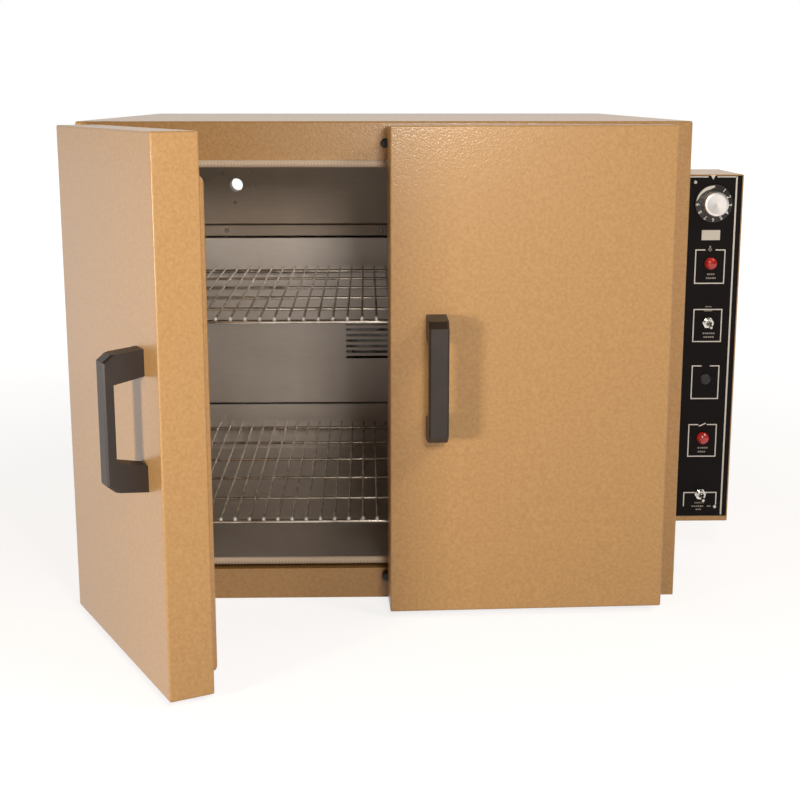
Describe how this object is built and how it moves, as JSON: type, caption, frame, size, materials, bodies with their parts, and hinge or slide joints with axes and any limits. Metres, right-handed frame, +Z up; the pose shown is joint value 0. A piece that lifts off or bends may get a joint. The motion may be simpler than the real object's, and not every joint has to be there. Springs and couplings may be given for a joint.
{
  "type": "laboratory oven",
  "caption": "Electric bench oven for a laboratory, with two hinged doors, wire shelves in a fan-circulated chamber and a control box with a dial on its side.",
  "frame": {"origin": "middle of the cabinet's underside, on the bench", "axes": "+X to the right seen from the front, towards the control box; +Y from the doors to the back; +Z up"},
  "size_m": [0.9113, 1.2522, 0.659],
  "materials": {
    "tan_paint": "hammered",
    "bare_steel": "satin",
    "liner_steel": "satin",
    "bright_wire": "bright",
    "bright_metal": "polished",
    "mineral_wool": "matte",
    "seal_rope": "matte",
    "dark_plastic": "satin",
    "black_panel": "satin",
    "dial_black": "satin",
    "knob_metal": "spun",
    "red_lens": "gloss",
    "heater_sheath": "oxidised",
    "insulator": "glazed",
    "wheel_aluminium": "satin",
    "motor_paint": "gloss",
    "copper_tube": "satin",
    "magnet_black": "satin"
  },
  "bodies": {
    "cabinet": {"outer_casing": "tan_paint", "base_pan": "bare_steel", "rear_cover": "tan_paint", "rear_screws": "bright_metal", "chamber_liner": "liner_steel", "insulation_slabs": "mineral_wool", "door_seal": "seal_rope", "rear_wall_panel": "liner_steel", "lower_wall_panel": "liner_steel", "upper_duct_panel": "liner_steel", "vent_bush": "bare_steel", "vent_sleeve": "bare_steel", "chamber_screws": "bright_metal", "left_shelf_rack": "liner_steel", "right_shelf_rack": "liner_steel", "heater_element": "heater_sheath", "heater_bushings": "insulator", "shaft_seal": "bare_steel", "motor_plate": "bare_steel", "motor": "motor_paint", "motor_cover": "tan_paint", "thermostat_bulb": "copper_tube", "bulb_clips": "bare_steel", "left_hinge_rail": "tan_paint", "right_hinge_rail": "tan_paint", "hinge_pins": "bare_steel", "door_magnets": "magnet_black", "control_box": "tan_paint", "control_panel_plate": "black_panel", "panel_screws": "bright_metal", "thermostat_body": "dial_black", "lamp_lenses": "red_lens", "lamp_bodies": "dial_black", "switch_bodies": "bright_metal", "switch_nuts": "bright_metal", "blank_plug": "dial_black", "terminal_block": "dial_black", "cable_gland": "dial_black", "wiring_nipple": "bare_steel"},
    "left_door": {"left_door_outer_pan": "tan_paint", "left_door_inner_pan": "tan_paint", "left_door_insulation": "mineral_wool", "left_door_handle": "dark_plastic", "left_handle_screws": "bright_metal", "left_hinge_door_leaf": "tan_paint"},
    "right_door": {"right_door_outer_pan": "tan_paint", "right_door_inner_pan": "tan_paint", "right_door_insulation": "mineral_wool", "right_door_handle": "dark_plastic", "right_handle_screws": "bright_metal", "right_hinge_door_leaf": "tan_paint"},
    "blower": {"blower_wheel": "wheel_aluminium", "motor_shaft": "bare_steel"},
    "dial": {"dial_skirt": "dial_black", "dial_knob": "knob_metal", "thermostat_shaft": "bare_steel"},
    "upper_toggle": {"upper_switch_lever": "bright_metal"},
    "lower_toggle": {"lower_switch_lever": "bright_metal"},
    "upper_wire_shelf": {"upper_shelf": "bright_wire"},
    "lower_wire_shelf": {"lower_shelf": "bright_wire"}
  },
  "joints": [
    {"name": "left_door_hinge", "type": "hinge", "parent": "cabinet", "child": "left_door", "pos_m": [-0.3765, -0.4035, 0.332], "axis": [0, 0, 1], "range_deg": [-41.97, 63.03]},
    {"name": "right_door_hinge", "type": "hinge", "parent": "cabinet", "child": "right_door", "pos_m": [0.3765, -0.4035, 0.332], "axis": [0, 0, 1], "range_deg": [-2.4, 102.6]},
    {"name": "upper_shelf_slide", "type": "slide", "parent": "cabinet", "child": "upper_wire_shelf", "axis": [0, -1, 0], "range_m": [-0.008, 0.016]},
    {"name": "lower_shelf_slide", "type": "slide", "parent": "cabinet", "child": "lower_wire_shelf", "axis": [0, -1, 0], "range_m": [-0.008, 0.016]},
    {"name": "blower_spin", "type": "hinge", "parent": "cabinet", "child": "blower", "pos_m": [0, 0.2925, 0.257], "axis": [0, 1, 0], "continuous": true},
    {"name": "dial_turn", "type": "hinge", "parent": "cabinet", "child": "dial", "pos_m": [0.4495, -0.3475, 0.5475], "axis": [0, 1, 0], "range_deg": [-15, 285]},
    {"name": "upper_toggle_tilt", "type": "hinge", "parent": "cabinet", "child": "upper_toggle", "pos_m": [0.4495, -0.3468, 0.3823], "axis": [-1, 0, 0], "range_deg": [0, 28]},
    {"name": "lower_toggle_tilt", "type": "hinge", "parent": "cabinet", "child": "lower_toggle", "pos_m": [0.4495, -0.3468, 0.1346], "axis": [-1, 0, 0], "range_deg": [0, 28]}
  ]
}
